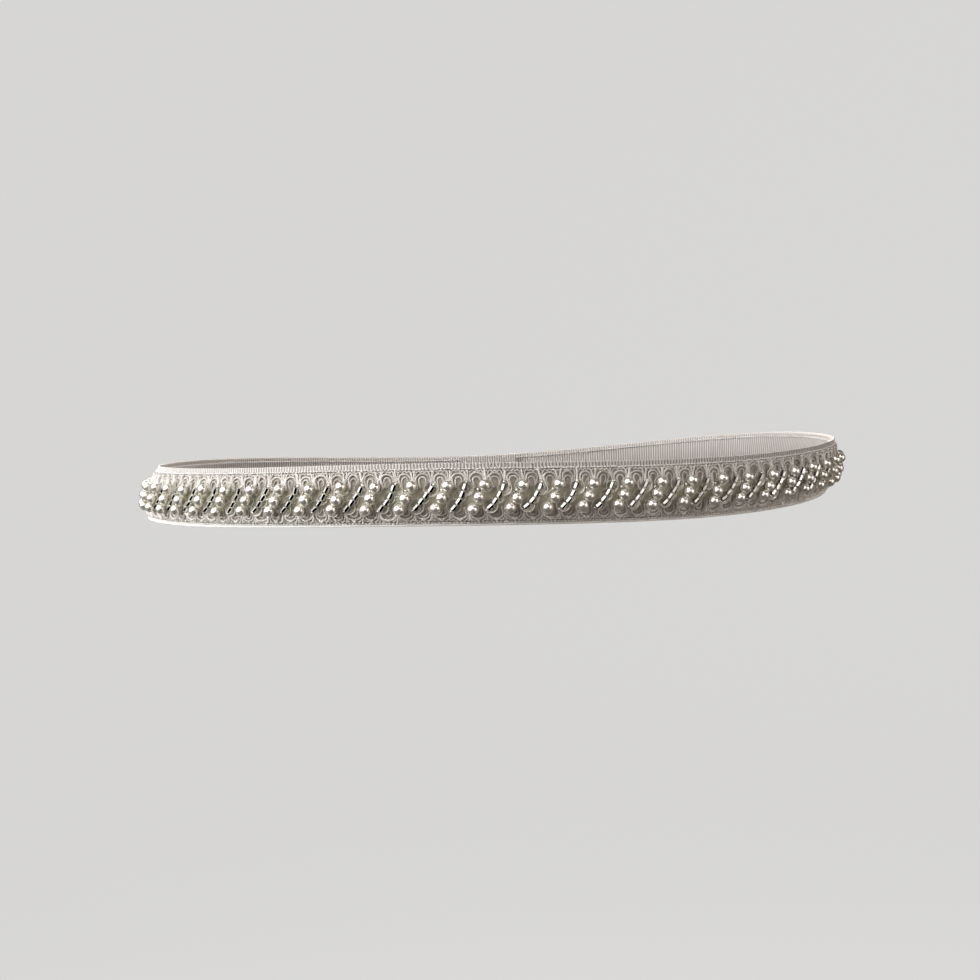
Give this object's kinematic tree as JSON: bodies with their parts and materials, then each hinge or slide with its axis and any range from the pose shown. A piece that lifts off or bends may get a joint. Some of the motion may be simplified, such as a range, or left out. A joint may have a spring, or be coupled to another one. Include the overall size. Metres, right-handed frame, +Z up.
{
  "type": "bridal sash",
  "caption": "Narrow grosgrain ribbon sash, fastened in a worn loop, with slanting rows of pearls and bugle beads on a corded braid along its outer face.",
  "frame": {"origin": "centre of the waist that the sash goes round, at half the ribbon's height", "axes": "+Z up along the wearer, -Y towards the wearer's front, +X along the sash's greatest breadth, to the right as the front is seen"},
  "size_m": [0.3043, 0.2189, 0.0289],
  "materials": {
    "ribbon": "white ribbed grosgrain, satiny",
    "braid": "white corded braid",
    "pearl": "glossy ivory pearl",
    "bugle": "silver-lined clear glass",
    "sequin": "thin translucent champagne sequin",
    "thread": "white sewing thread",
    "closure_metal": "nickel-plated brass"
  },
  "bodies": {
    "root": {"ribbon_band": "ribbon", "beaded_braid": "braid", "closure_hook": "closure_metal", "closure_bar": "closure_metal"}
  },
  "joints": []
}
